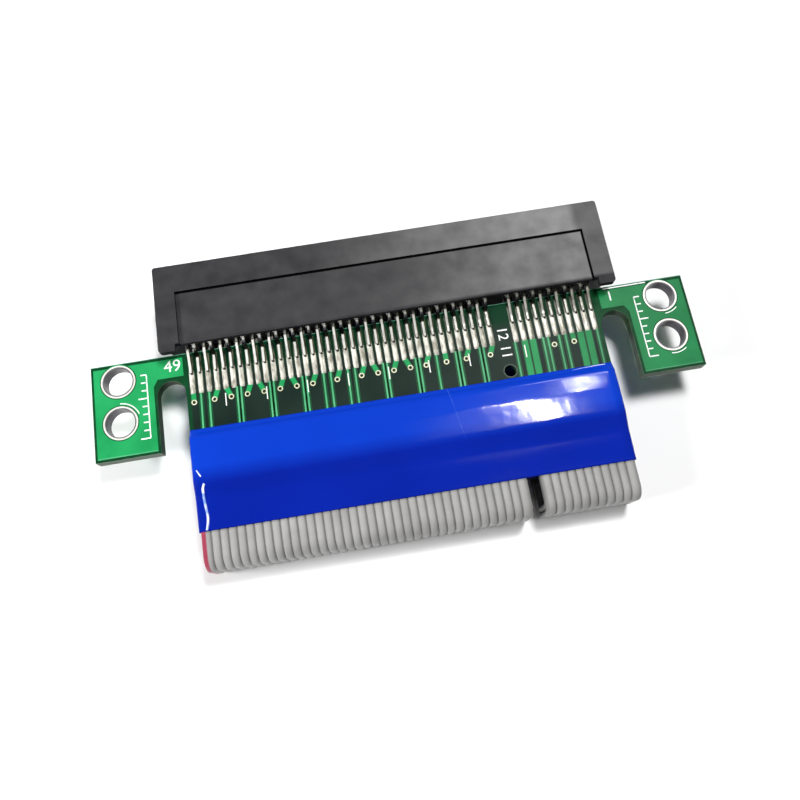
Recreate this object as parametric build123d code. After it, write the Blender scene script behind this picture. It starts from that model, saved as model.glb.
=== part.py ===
from build123d import *
import os

# Flexible riser for an eight-lane expansion slot: a socket on a small board with two drilled ears,
# joined by folded ribbon cables to a plug board with gold fingers.
# The row frame: +X along the slot towards contact 1, +Y out of the socket's mouth, +Z up.
# The origin is at the middle of the whole part's footprint, on the surface that it lies on.
# Lengths are in millimetres.

# Contacts: 49 on each side, with a gap for the key after contact 11.
PITCH = 1.0
FIRST_GROUP_COUNT = 11
CONTACT_COUNT = 49
KEY_GAP = 3.0

# Socket housing, measured from the board's far edge and its middle plane.
HOUSING_LENGTH = 56.0
HOUSING_THICKNESS = 7.3
MOUTH_REACH = 10.65
REAR_FACE = 0.3
LIP_REACH = 0.6
LIP_WIDTH = 2.0
HOUSING_CORNER = 0.4
PANEL_DEPTH = 0.4
PANEL_HALF_LENGTH = 25.5
PANEL_FRONT = 7.05
TROUGH_FLOOR = 1.3
TROUGH_HALF_HEIGHT = 2.75
CARD_SLOT_GAP = 1.8
CARD_SLOT_FLOOR = 2.3
CARD_SLOT_SPARE = 0.15
KEY_SPARE = 0.1
LEAD_IN = 0.5
CAVITY_WIDTH = 0.62
CAVITY_HALF_HEIGHT = 2.45
CAVITY_LIP = 0.95

# Contact strip: one stamped and bent metal piece.
STRIP = 0.2
STRIP_WIDTH = 0.44
SPRING_RUN = 2.0
TIP_BEHIND_MOUTH = 1.35
TIP_HEIGHT = 1.5
CREST_BEHIND_MOUTH = 2.85
CREST_HEIGHT = 0.75
UPPER_SHANK = 2.2
LOWER_SHANK = 1.5
UPPER_BEND = 0.15
LOWER_BEND = 0.3
UPPER_FOOT = 0.75
LOWER_FOOT = 2.0
TAIL_REACH = 2.8

# Solder pads on both faces of the slot board.
PAD_WIDTH = 0.75
PAD_THICKNESS = 0.05
PAD_START = 0.45
PAD_END = 5.4

# Slot board.
BOARD = 1.6
BOARD_WIDTH = 74.4
EAR_LENGTH = 12.05
NECK_MARGIN = 0.83
NECK_LENGTH = 15.3
NOTCH_WIDTH = 3.55
NOTCH_APEX = 3.25
HOLE_FROM_END = 3.25
HOLE_SPACING_Y = 5.25
HOLE_INSET = 2.32
HOLE_RADIUS = 1.75
RING_RADIUS = 2.1
RING_THICKNESS = 0.04
PEG_RADIUS = 0.75
PEG_INSET = 8.9

# Ribbon cables: one conductor for each contact, in a wide and a narrow part.
RIBBON = 0.7
RIBBON_MARGIN = 0.7
LAYER_GAP = 0.1
FOLD_INNER = 0.3
FOLD_REACH = 26.65
SLOPE_RADIUS = 1.2
WIRE = 0.3

# Taped joint of board and ribbons, measured from the tape's far edge.
TAPE = 0.1
TAPE_LENGTH = 12.2
TAPE_RISE = 0.3
WIRE_START = 1.1
WIRE_COVER = 1.2
INSULATION_START = 3.4
JOINT_BOARD = 5.4
BOARD_OVERHANG = 0.3
SLOPE_LENGTH = 2.4
TAPE_OVERHANG = 0.3
TAPE_SLACK = 1.0

# Plug board.
TAB_MARGIN = 0.65
KEY_WIDTH = 1.9
KEY_DEPTH = 8.0
PLUG_BEHIND_MOUTH = 0.35
BEVEL_LENGTH = 1.2
BEVEL_DEPTH = 0.35
FINGER_WIDTH = 0.7
FINGER_LENGTH = 5.6
FINGER_INSET = 1.35
FINGER_THICKNESS = 0.04
PLUG_TAPE_CLEARANCE = 0.3
EXIT_STRAIGHT = 1.0
DROOP_LENGTH = 3.0

# Values worked out from those above.
SPAN = (CONTACT_COUNT - 2) * PITCH + KEY_GAP
FIRST_X = SPAN / 2
GROUP_END_X = FIRST_X - (FIRST_GROUP_COUNT - 1) * PITCH
NEXT_X = GROUP_END_X - KEY_GAP
KEY_X = (GROUP_END_X + NEXT_X) / 2
NECK_WIDTH = SPAN + 2 * NECK_MARGIN
RIBBON_SPREAD = SPAN + 2 * RIBBON_MARGIN
HOLE_X = BOARD_WIDTH / 2 - HOLE_FROM_END
TAPE_START = NECK_LENGTH - JOINT_BOARD
FACE = BOARD / 2
PAIR_TOP = LAYER_GAP / 2 + RIBBON

PLUG_Z = TAPE + RIBBON + FACE
SLOT_Z = PLUG_Z + FACE + FINGER_THICKNESS + HOUSING_THICKNESS / 2
EDGE_Y = (FOLD_REACH - MOUTH_REACH) / 2
FOLD_Y = EDGE_Y - FOLD_REACH
SLOT_TAPE_Y = EDGE_Y - TAPE_START
PLUG_TAPE_Y = EDGE_Y - LIP_REACH - PLUG_TAPE_CLEARANCE
PLUG_EDGE_Y = EDGE_Y + MOUTH_REACH - PLUG_BEHIND_MOUTH

SLOT_PLACE = Pos(0, EDGE_Y, SLOT_Z)
SLOT_JOINT_PLACE = Pos(0, SLOT_TAPE_Y, SLOT_Z)
PLUG_PLACE = Pos(0, PLUG_TAPE_Y, PLUG_Z)


def contact_x(number):
    """X of a contact, counted from 1 at the +X end."""
    if number <= FIRST_GROUP_COUNT:
        return FIRST_X - (number - 1) * PITCH
    return NEXT_X - (number - 1 - FIRST_GROUP_COUNT) * PITCH


def side_profile(points, width):
    """A plate of the given width, centred on X = 0, whose side view is the outline of (y, z) points."""
    face = make_face(Polyline([(0, y, z) for y, z in points], close=True))
    return extrude(face, amount=width / 2, dir=(1, 0, 0), both=True)


def at_contacts(shape, numbers):
    """Separate copies of one small piece, one at each contact number."""
    return [Pos(contact_x(n), 0, 0) * shape for n in numbers]


def to_underside(shapes):
    """The same pieces on the other face of the board."""
    return [mirror(shape, about=Plane.XY) for shape in shapes]


def slot_board():
    """Board with an ear at each end, each with two holes, and a narrower neck under the tape."""
    blank = Pos(0, -EAR_LENGTH / 2) * Rectangle(BOARD_WIDTH, EAR_LENGTH)
    blank += Pos(0, -NECK_LENGTH / 2) * Rectangle(NECK_WIDTH, NECK_LENGTH)
    radius = NOTCH_WIDTH / 2
    notch_length = EAR_LENGTH - NOTCH_APEX
    notch = Rectangle(NOTCH_WIDTH, notch_length, align=(Align.CENTER, Align.MAX)) + Circle(radius)
    for side in (-1, 1):
        notch_x = side * (NECK_WIDTH / 2 + radius)
        blank -= Pos(notch_x, -NOTCH_APEX - radius) * notch
        for row in (0, 1):
            hole_y = -HOLE_INSET - row * HOLE_SPACING_Y
            blank -= Pos(side * HOLE_X, hole_y) * Circle(RING_RADIUS)
    blank -= Pos(KEY_X, -PEG_INSET) * Circle(PEG_RADIUS)
    return extrude(blank, amount=FACE, both=True)


def plated_hole():
    """Metal lining of one ear hole and the rings on the board's faces, as one plain sleeve."""
    sleeve = Circle(RING_RADIUS) - Circle(HOLE_RADIUS)
    return extrude(sleeve, amount=FACE + RING_THICKNESS, both=True)


def housing_shell():
    """Outer block of the socket: recessed panels, thin rear lips, and a trough open at both ends."""
    depth = MOUTH_REACH + LIP_REACH
    plan = Pos(0, MOUTH_REACH - depth / 2) * Rectangle(HOUSING_LENGTH, depth)
    plan = fillet(plan.vertices(), HOUSING_CORNER)
    shell = extrude(plan, amount=HOUSING_THICKNESS / 2, both=True)
    rear = LIP_REACH + REAR_FACE
    between_lips = HOUSING_LENGTH - 2 * LIP_WIDTH
    shell -= Pos(0, REAR_FACE - rear / 2, 0) * Box(between_lips, rear, HOUSING_THICKNESS)
    panel_size = PANEL_FRONT - REAR_FACE
    panel = Box(2 * PANEL_HALF_LENGTH, panel_size, 2 * PANEL_DEPTH)
    for side in (-1, 1):
        shell -= Pos(0, REAR_FACE + panel_size / 2, side * HOUSING_THICKNESS / 2) * panel
    trough = TROUGH_FLOOR + LIP_REACH
    shell -= Pos(0, TROUGH_FLOOR - trough / 2, 0) * Box(HOUSING_LENGTH, trough, 2 * TROUGH_HALF_HEIGHT)
    return shell


def card_slot(low_x, high_x):
    """One part of the slot that takes the card's edge, with sloped lead-ins at the mouth."""
    half = CARD_SLOT_GAP / 2
    wide = half + LEAD_IN
    outline = [
        (CARD_SLOT_FLOOR, -half), (MOUTH_REACH - LEAD_IN, -half), (MOUTH_REACH, -wide),
        (MOUTH_REACH, wide), (MOUTH_REACH - LEAD_IN, half), (CARD_SLOT_FLOOR, half)]
    return Pos((low_x + high_x) / 2, 0, 0) * side_profile(outline, high_x - low_x)


def contact_cavity():
    """Room for one contact's spring, open to the card slot and to the rear."""
    length = MOUTH_REACH - CAVITY_LIP - TROUGH_FLOOR
    height = CAVITY_HALF_HEIGHT - CARD_SLOT_GAP / 2
    low = (Align.CENTER, Align.MIN, Align.MIN)
    return Pos(0, TROUGH_FLOOR, CARD_SLOT_GAP / 2) * Box(CAVITY_WIDTH, length, height, align=low)


def slot_housing():
    """Moulded socket body with its keyed card slot and a cavity for each contact."""
    end_x = FIRST_X + TAB_MARGIN + CARD_SLOT_SPARE
    key = KEY_WIDTH / 2 - KEY_SPARE
    cuts = [card_slot(-end_x, KEY_X - key), card_slot(KEY_X + key, end_x)]
    above = at_contacts(contact_cavity(), range(1, CONTACT_COUNT + 1))
    return housing_shell() - cuts - above - to_underside(above)


def strip_outline(route):
    """Outline of a bent strip of constant thickness along a route of (y, z) points."""
    near, far = [], []
    for i, here in enumerate(route):
        before = Vector(*route[max(i - 1, 0)])
        middle = Vector(*here)
        after = Vector(*route[min(i + 1, len(route) - 1)])
        first = middle - before if i > 0 else after - middle
        second = after - middle if i < len(route) - 1 else first
        normal = (first.normalized() + second.normalized()).normalized().rotate(Axis.Z, 90)
        reach = STRIP / 2 / normal.dot(first.normalized().rotate(Axis.Z, 90))
        near.append(middle + normal * reach)
        far.append(middle - normal * reach)
    return [(p.X, p.Y) for p in near + far[::-1]]


def contact(shank, bend, foot):
    """Contact whose shank leaves the housing at one height and bends down to its solder pad."""
    seat = FACE + PAD_THICKNESS + STRIP / 2
    tip = (MOUTH_REACH - TIP_BEHIND_MOUTH, TIP_HEIGHT)
    crest = (MOUTH_REACH - CREST_BEHIND_MOUTH, CREST_HEIGHT)
    knee = (crest[0] - (shank - CREST_HEIGHT) * SPRING_RUN, shank)
    route = [tip, crest, knee, (bend, shank), (-foot, seat), (-TAIL_REACH, seat)]
    return side_profile(strip_outline(route), STRIP_WIDTH)


def upper_contacts():
    return at_contacts(contact(UPPER_SHANK, UPPER_BEND, UPPER_FOOT), range(2, CONTACT_COUNT + 1, 2))


def lower_contacts():
    return at_contacts(contact(LOWER_SHANK, LOWER_BEND, LOWER_FOOT), range(1, CONTACT_COUNT + 1, 2))


def solder_pads():
    """Tinned pads that the contact tails are soldered to."""
    length = PAD_END - PAD_START
    pad = Pos(0, -PAD_START - length / 2, FACE + PAD_THICKNESS / 2) * Box(PAD_WIDTH, length, PAD_THICKNESS)
    return at_contacts(pad, range(1, CONTACT_COUNT + 1))


def tape_sleeve(inner_width):
    """Film wrapped round a joint: over the wire ends, the insulation and the sloping ribbons."""
    ridge = -JOINT_BOARD - BOARD_OVERHANG - TAPE_OVERHANG
    slope_end = -JOINT_BOARD - SLOPE_LENGTH - TAPE_SLACK
    upper = [
        (0, FACE), (-TAPE_RISE, FACE), (-WIRE_START, FACE + WIRE + TAPE),
        (-INSULATION_START + TAPE, FACE + RIBBON), (ridge, FACE + RIBBON),
        (slope_end, PAIR_TOP), (-TAPE_LENGTH, PAIR_TOP)]
    inside = upper + [(y, -z) for y, z in reversed(upper)]
    skin = [(y, z + TAPE) for y, z in upper]
    outside = skin + [(y, -z) for y, z in reversed(skin)]
    return side_profile(outside, inner_width + 2 * TAPE) - side_profile(inside, inner_width)


def wire_ends():
    """Stripped ends of the ribbon's conductors, each in a wedge of solder on one face of a board."""
    at_insulation = FACE + (RIBBON + WIRE) / 2
    outline = [(-WIRE_COVER, FACE), (-INSULATION_START, at_insulation), (-INSULATION_START, FACE)]
    return at_contacts(side_profile(outline, WIRE), range(1, CONTACT_COUNT + 1))


def joint_route(tape_y, middle_z, side):
    """Middle line of one ribbon at a taped joint: along the board's face, then in to the middle plane."""
    on_board = middle_z + side * (FACE + RIBBON / 2)
    off_board = middle_z + side * (LAYER_GAP + RIBBON) / 2
    board_end = tape_y - JOINT_BOARD
    return [
        (tape_y - INSULATION_START, on_board), (board_end - BOARD_OVERHANG, on_board),
        (board_end - SLOPE_LENGTH, off_board)]


def ribbon(side, low_number, high_number):
    """One ribbon from board to board, folded back under the socket. Side is 1 outside, -1 inside."""
    inward = (1 - side) / 2 * (RIBBON + LAYER_GAP)
    fold_y = FOLD_Y + RIBBON / 2 + inward
    on_floor = RIBBON / 2 + inward
    down = joint_route(SLOT_TAPE_Y, SLOT_Z, side)
    back = joint_route(PLUG_TAPE_Y, PLUG_Z, -side)[::-1]
    lift_y = PLUG_TAPE_Y - TAPE_LENGTH - EXIT_STRAIGHT
    droop = [(lift_y - DROOP_LENGTH, on_floor), (lift_y, back[0][1])]
    points = down + [(fold_y, down[-1][1]), (fold_y, on_floor)] + droop + back
    fold_radius = FOLD_INNER + RIBBON / 2 + (RIBBON + LAYER_GAP if side > 0 else 0)
    radii = [SLOPE_RADIUS] * 2 + [fold_radius] * 2 + [SLOPE_RADIUS] * 4
    path = FilletPolyline([(0, y, z) for y, z in points], radius=radii)
    low_x = contact_x(high_number) - RIBBON_MARGIN
    high_x = contact_x(low_number) + RIBBON_MARGIN
    section = Plane(path @ 0, x_dir=(1, 0, 0), z_dir=path % 0) * Rectangle(high_x - low_x, RIBBON)
    return Pos((low_x + high_x) / 2, 0, 0) * sweep(section, path=path)


def plug_board():
    """Board with a bevelled finger edge and the notch for the slot's key."""
    ahead = PLUG_EDGE_Y - PLUG_TAPE_Y
    bevel_y = ahead - BEVEL_LENGTH
    thin = FACE - BEVEL_DEPTH
    outline = [
        (-JOINT_BOARD, -FACE), (bevel_y, -FACE), (ahead, -thin),
        (ahead, thin), (bevel_y, FACE), (-JOINT_BOARD, FACE)]
    board = side_profile(outline, SPAN + 2 * TAB_MARGIN)
    radius = KEY_WIDTH / 2
    notch = Rectangle(KEY_WIDTH, KEY_DEPTH - radius, align=(Align.CENTER, Align.MIN)) + Circle(radius)
    cutter = extrude(notch, amount=BOARD, both=True)
    return board - Pos(KEY_X, ahead - KEY_DEPTH + radius, 0) * cutter


def gold_fingers():
    """Gold-plated fingers on the plug board's upper face."""
    ahead = PLUG_EDGE_Y - PLUG_TAPE_Y
    place = Pos(0, ahead - FINGER_INSET - FINGER_LENGTH / 2, FACE + FINGER_THICKNESS / 2)
    finger = place * Box(FINGER_WIDTH, FINGER_LENGTH, FINGER_THICKNESS)
    return at_contacts(finger, range(1, CONTACT_COUNT + 1))


def place_all(place, shapes):
    return [place * shape for shape in shapes]


def write(name, shapes):
    """One STEP file for a node, which may be a group of separate solids."""
    solids = shapes if isinstance(shapes, list) else [shapes]
    node = solids[0] if len(solids) == 1 else Compound(children=solids)
    export_step(node, f"parts/{name}.step")


def main():
    os.makedirs("parts", exist_ok=True)
    write("slot_board", SLOT_PLACE * slot_board())
    write("slot_housing", SLOT_PLACE * slot_housing())
    for name, shapes in (
        ("contacts_{}_upper", upper_contacts()),
        ("contacts_{}_lower", lower_contacts()),
        ("solder_pads_{}", solder_pads()),
    ):
        write(name.format("a"), place_all(SLOT_PLACE, shapes))
        write(name.format("b"), place_all(SLOT_PLACE, to_underside(shapes)))

    barrel = plated_hole()
    for side, side_name in ((-1, "left"), (1, "right")):
        for row, row_name in ((0, "far"), (1, "near")):
            hole_y = -HOLE_INSET - row * HOLE_SPACING_Y
            place = SLOT_PLACE * Pos(side * HOLE_X, hole_y, 0)
            write(f"plated_hole_{side_name}_{row_name}", place * barrel)

    write("ribbon_a_wide", ribbon(1, FIRST_GROUP_COUNT + 1, CONTACT_COUNT))
    write("ribbon_a_narrow", ribbon(1, 1, FIRST_GROUP_COUNT))
    write("ribbon_b_wide", ribbon(-1, FIRST_GROUP_COUNT + 1, CONTACT_COUNT))
    write("ribbon_b_narrow", ribbon(-1, 1, FIRST_GROUP_COUNT))

    wires = wire_ends()
    write("slot_wire_ends_a", place_all(SLOT_JOINT_PLACE, wires))
    write("slot_wire_ends_b", place_all(SLOT_JOINT_PLACE, to_underside(wires)))
    write("plug_wire_ends_a", place_all(PLUG_PLACE, to_underside(wires)))
    write("plug_wire_ends_b", place_all(PLUG_PLACE, wires))

    write("slot_tape", SLOT_JOINT_PLACE * tape_sleeve(NECK_WIDTH))
    write("plug_tape", PLUG_PLACE * tape_sleeve(RIBBON_SPREAD))

    write("plug_board", PLUG_PLACE * plug_board())
    fingers = gold_fingers()
    write("gold_fingers_b", place_all(PLUG_PLACE, fingers))
    write("gold_fingers_a", place_all(PLUG_PLACE, to_underside(fingers)))


main()
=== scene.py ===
import math
import bmesh
import bpy
from mathutils import Matrix, Vector, noise


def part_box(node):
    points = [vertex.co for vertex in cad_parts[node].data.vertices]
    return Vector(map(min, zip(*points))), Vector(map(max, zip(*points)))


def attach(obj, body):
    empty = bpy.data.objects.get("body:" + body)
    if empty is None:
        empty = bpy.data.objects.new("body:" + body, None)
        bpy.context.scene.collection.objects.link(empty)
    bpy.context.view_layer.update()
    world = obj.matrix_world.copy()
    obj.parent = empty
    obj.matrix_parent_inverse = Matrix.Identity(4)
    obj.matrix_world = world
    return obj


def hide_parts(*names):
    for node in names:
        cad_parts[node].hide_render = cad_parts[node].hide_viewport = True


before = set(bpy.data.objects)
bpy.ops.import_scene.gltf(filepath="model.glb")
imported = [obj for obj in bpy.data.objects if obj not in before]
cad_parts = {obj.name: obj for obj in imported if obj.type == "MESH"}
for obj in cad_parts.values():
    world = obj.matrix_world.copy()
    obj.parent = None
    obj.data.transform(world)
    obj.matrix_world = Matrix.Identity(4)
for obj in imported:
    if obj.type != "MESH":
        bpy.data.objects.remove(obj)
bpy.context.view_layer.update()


# Slot board: a glass-epoxy plate with an ear at each end. Green solder mask covers both faces, so that
# it is bright over the copper left by etching and dark over bare laminate. The sawn edges show the
# laminate itself.

MM = 0.001
PITCH = 1.0 * MM
KEY_GAP = 3.0 * MM
FIRST_GROUP_COUNT = 11
CONTACT_COUNT = 49
PAD_WIDTH = 0.75 * MM

board_low, board_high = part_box("slot_board")
board_middle_z = (board_low.z + board_high.z) / 2
FACE = (board_high.z - board_low.z) / 2
EDGE_Y = board_high.y
FIRST_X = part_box("solder_pads_a")[1].x - PAD_WIDTH / 2
PEG_X = FIRST_X - (FIRST_GROUP_COUNT - 1) * PITCH - KEY_GAP / 2
PEG_TOP = (PEG_X, EDGE_Y - 8.9 * MM, board_high.z)

# Where one shade of the laminate turns into the next, as the start and the end of the change.
CORE_TO_RIM = (FACE - 0.16 * MM, FACE - 0.08 * MM)
NECK_TO_EARS = (25.2 * MM, 25.6 * MM)
NECK_TO_SOCKET = (EDGE_Y - 3.8 * MM, EDGE_Y - 2.2 * MM)
FACE_TO_FAR_RIM = (EDGE_Y - 0.10 * MM, EDGE_Y - 0.05 * MM)
FACE_TO_PEG_RIM = (0.90 * MM, 0.82 * MM)


def contact_x(number):
    """X of a contact, counted from 1 at the +X end."""
    x = FIRST_X - (number - 1) * PITCH
    if number > FIRST_GROUP_COUNT:
        x -= KEY_GAP - PITCH
    return x


def new_finish(name, roughness, metallic=0.0, specular=0.5):
    """A material with plain values on its shader's sockets, and the coordinates of the piece."""
    finish = bpy.data.materials.new(name)
    finish.use_nodes = True
    nodes = finish.node_tree.nodes
    shader = nodes["Principled BSDF"]
    shader.inputs["Roughness"].default_value = roughness
    shader.inputs["Metallic"].default_value = metallic
    shader.inputs["Specular IOR Level"].default_value = specular
    return finish, nodes.new("ShaderNodeTexCoord").outputs["Object"]


def feed(name, value):
    """Links a value to the shader's socket of that name."""
    tree = value.id_data
    tree.links.new(value, tree.nodes["Principled BSDF"].inputs[name])


def node_after(value, kind, socket=0):
    """A new node in the value's tree, with the value linked to one of its sockets."""
    tree = value.id_data
    node = tree.nodes.new(kind)
    tree.links.new(value, node.inputs[socket])
    return node


def split_axes(place):
    """X, Y and Z of a place or a direction."""
    return node_after(place, "ShaderNodeSeparateXYZ").outputs


def grain(place, scale, detail=3.0):
    """Noise at a place."""
    node = node_after(place, "ShaderNodeTexNoise", "Vector")
    node.inputs["Scale"].default_value = scale
    node.inputs["Detail"].default_value = detail
    return node.outputs["Fac"]


def ramp(value, stops):
    """A colour ramp through (position, colour) stops."""
    node = node_after(value, "ShaderNodeValToRGB", "Fac")
    points = node.color_ramp.elements
    while len(points) < len(stops):
        points.new(0.5)
    for point, (position, colour) in zip(points, stops):
        point.position = position
        point.color = (*colour, 1.0)
    return node.outputs["Color"]


def two_tone(value, dark, light, low=0.3, high=0.7):
    """Dark where the value is low, light where it is high and even between."""
    return ramp(value, [(low, dark), (high, light)])


def blend(amount, low, high):
    """Mixes two colours or sockets by the amount from 0 to 1."""
    node = node_after(amount, "ShaderNodeMix", "Factor")
    node.data_type = "RGBA"
    for name, colour in (("A", low), ("B", high)):
        socket = [s for s in node.inputs if s.name == name and s.type == "RGBA"][0]
        if isinstance(colour, tuple):
            socket.default_value = (*colour, 1.0)
        else:
            amount.id_data.links.new(colour, socket)
    return [s for s in node.outputs if s.type == "RGBA"][0]


def between(value, start, end, at_start=0.0, at_end=1.0):
    """Goes evenly from one number to another as the value goes from start to end, and stays there."""
    node = node_after(value, "ShaderNodeMapRange", "Value")
    for name, number in (("From Min", start), ("From Max", end), ("To Min", at_start), ("To Max", at_end)):
        node.inputs[name].default_value = number
    return node.outputs["Result"]


def maths(operation, first, second=0.0):
    """One Math node, of a value and a second value or a number."""
    node = node_after(first, "ShaderNodeMath")
    node.operation = operation
    if isinstance(second, (int, float)):
        node.inputs[1].default_value = second
    else:
        first.id_data.links.new(second, node.inputs[1])
    return node.outputs[0]


def minus(first, second):
    """First less second."""
    return maths("SUBTRACT", first, second)


def size_of(value):
    """The value without its sign."""
    return maths("ABSOLUTE", value)


def bumps(place, scale, height, detail=3.0):
    """Bumps of the given height in metres."""
    node = node_after(grain(place, scale, detail), "ShaderNodeBump", "Height")
    node.inputs["Distance"].default_value = height
    feed("Normal", node.outputs["Normal"])


def facing_up(place, low, high):
    """0 on walls, 1 on level faces: from how level the surface is at a place."""
    surface = place.id_data.nodes.new("ShaderNodeNewGeometry")
    return between(size_of(split_axes(surface.outputs["Normal"])["Z"]), low, high)


def distance_from(place, point):
    """Distance of a place from a point of the row frame."""
    node = node_after(place, "ShaderNodeVectorMath")
    node.operation = "DISTANCE"
    node.inputs[1].default_value = point
    return node.outputs["Value"]


def sawn_edges(speckle, z, middle_z):
    """Laminate showing at a board's edge, lighter along the mask's rim."""
    core = two_tone(speckle, (0.016, 0.036, 0.014), (0.040, 0.078, 0.030), 0.3, 0.8)
    rim = two_tone(speckle, (0.08, 0.18, 0.07), (0.16, 0.30, 0.13), 0.3, 0.8)
    height = size_of(minus(z, middle_z))
    return blend(between(height, *CORE_TO_RIM), core, rim)


def laminate_finish():
    """Solder mask, green and dull by the socket, with sawn edges and a pale rim round the locating hole."""
    finish, place = new_finish("laminate", 0.4)
    x, y, z = split_axes(place)
    speckle = grain(place, 900.0)
    cloud = grain(place, 160.0)
    under_neck = two_tone(cloud, (0.007, 0.016, 0.012), (0.013, 0.026, 0.020), 0.35, 0.7)
    on_ears = two_tone(speckle, (0.003, 0.036, 0.012), (0.006, 0.058, 0.020), 0.3, 0.75)
    neck = blend(between(y, *NECK_TO_SOCKET), under_neck, (0.002, 0.030, 0.012))
    faces = blend(between(size_of(x), *NECK_TO_EARS), neck, on_ears)
    peg_rim = between(distance_from(place, PEG_TOP), *FACE_TO_PEG_RIM)
    faces = blend(peg_rim, faces, (0.07, 0.10, 0.08))
    faces = blend(between(y, *FACE_TO_FAR_RIM), faces, (0.16, 0.36, 0.26))
    edges = sawn_edges(speckle, z, board_middle_z)
    feed("Base Color", blend(facing_up(place, 0.4, 0.6), edges, faces))
    feed("Specular IOR Level", between(y, *NECK_TO_SOCKET, 0.15, 0.08))
    bumps(place, 2500.0, 0.005 * MM)
    return finish


def paint(piece, finish):
    """The piece gets this one finish."""
    piece.data.materials.clear()
    piece.data.materials.append(finish)


def paint_node(name, finish):
    """A CAD node keeps its mesh and gets a finish in each of its material slots."""
    for material_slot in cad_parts[name].material_slots:
        material_slot.material = finish


paint_node("slot_board", laminate_finish())


# Copper under the mask, left by etching: the ground areas of the ears and, below the pads, wide stubs
# to plated vias that carry ground, wide bands of power and narrow traces in pairs that carry signals.
# The mask is thin and pale over the narrow ones, and pools dark green beside each.

COPPER_HEIGHT = 0.025 * MM
EAR_NEAR_Y = EDGE_Y - 12.05 * MM
NOTCH_INNER_X = 25.83 * MM
NOTCH_OUTER_X = 29.38 * MM
NOTCH_APEX_Y = EDGE_Y - 3.25 * MM
BARE_FAR = 0.45 * MM
BARE_NEAR = 0.32 * MM
BARE_END = 0.3 * MM
BARE_BESIDE_NOTCH = 0.33 * MM
BARE_ABOVE_NOTCH = 0.42 * MM
BARE_NECK = {1: 0.55 * MM, -1: 0.15 * MM}
CORNER_DROP = 0.5 * MM
CORNER_CUT = 0.2 * MM
RING_COPPER_GAP = 0.12 * MM
OPENING_STEPS = 48
MASK_POOL_HEIGHT = 0.008 * MM
MASK_POOL_SPREAD = 0.2 * MM
THIN_MASK_WIDTH = 0.13 * MM
THIN_MASK_HEIGHT = 1.2 * COPPER_HEIGHT
THIN_MASK_BACK = 0.07 * MM
TRACE_WIDTH = 0.2 * MM
TRACE_DRIFT = 0.12 * MM
TRACE_START_Y = EDGE_Y - 5.3 * MM
TRACE_END_Y = EDGE_Y - 10.6 * MM
TRACE_SHIFTS = {"l": -0.22 * MM, "i": -0.1 * MM, "c": 0.12 * MM, "r": 0.3 * MM}
VIA_Y = EDGE_Y - 6.46 * MM
VIA_SHIFT = 0.52 * MM
STUB_WIDTH = 0.56 * MM
STUB_TOP_SHARE = 0.1
# Over this span of X the mask's painted shade, where the light falls off towards the right, grows to its
# full factor.
RIGHT_SHADE_SPAN = (5 * MM, 28 * MM)
BOTH_FACES = ((1, "a"), (-1, "b"))

# Marks for each contact from 49 to 1: o is a via below the pad, / and \ are vias to its left and right,
# a dot is a via at its right with no stub, l, i, c and r are traces from left to right, w is a band.
MARKS = [*"oii/\\rl/\\rl/\\rl/il/il/\\rl/\\rl/iorl/rl/lwwr", "i.", *"rcowwc"]
ROUTING = [(contact_x(number), marks) for number, marks in zip(range(CONTACT_COUNT, 0, -1), MARKS)]


def new_object(name, shape, finish):
    """Makes an object of a bmesh, with its finish."""
    mesh = bpy.data.meshes.new(name)
    shape.to_mesh(mesh)
    shape.free()
    made = bpy.data.objects.new(name, mesh)
    bpy.context.scene.collection.objects.link(made)
    paint(made, finish)
    return made


def new_piece(name, shape, finish, slot, *stands_for):
    """Makes a piece of the part and hides the CAD nodes that it replaces; its slot is not used."""
    piece = new_object(name, shape, finish)
    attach(piece, "root")
    if stands_for:
        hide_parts(*stands_for)


def only(made, kind):
    """The vertices, edges or faces among what an operator made."""
    return [part for part in made["geom"] if isinstance(part, kind)]


def faces_of(verts):
    """All faces that meet at these vertices."""
    return list({face for vert in verts for face in vert.link_faces})


def middle_of(name):
    """X and Y of a node's middle."""
    low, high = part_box(name)
    return (low.x + high.x) / 2, (low.y + high.y) / 2


def ring_of_edges(shape, points):
    """Closed chain of edges through (x, y) points."""
    corners = [shape.verts.new((x, y, 0)) for x, y in points]
    return [shape.edges.new((a, b)) for a, b in zip(corners, corners[1:] + corners[:1])]


def arc(centre_x, centre_y, radius, start, end, steps):
    """Points along an arc, with its angles in degrees."""
    angles = [math.radians(start + (end - start) * i / steps) for i in range(steps + 1)]
    return [(centre_x + radius * math.cos(a), centre_y + radius * math.sin(a)) for a in angles]


def raise_sheet(shape, faces, height):
    """Turns flat faces at Z = 0 into a closed sheet of this height."""
    grown = bmesh.ops.extrude_face_region(shape, geom=faces, use_keep_orig=True)
    bmesh.ops.translate(shape, verts=only(grown, bmesh.types.BMVert), vec=(0, 0, height))


def ear_outline(neck_x):
    """Corners of the right ear's ground area, clockwise from where it starts beside the neck."""
    end_x = board_high.x - BARE_END
    far_y = EDGE_Y - BARE_FAR
    near_y = EAR_NEAR_Y + BARE_NEAR
    beside_notch_x = NOTCH_OUTER_X + BARE_BESIDE_NOTCH
    above_notch_y = NOTCH_APEX_Y + BARE_ABOVE_NOTCH
    return [
        (neck_x, far_y), (end_x, far_y), (end_x, near_y),
        (beside_notch_x, near_y), (beside_notch_x, NOTCH_APEX_Y - CORNER_DROP),
        (NOTCH_OUTER_X - CORNER_CUT, above_notch_y), (neck_x, above_notch_y)]


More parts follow.
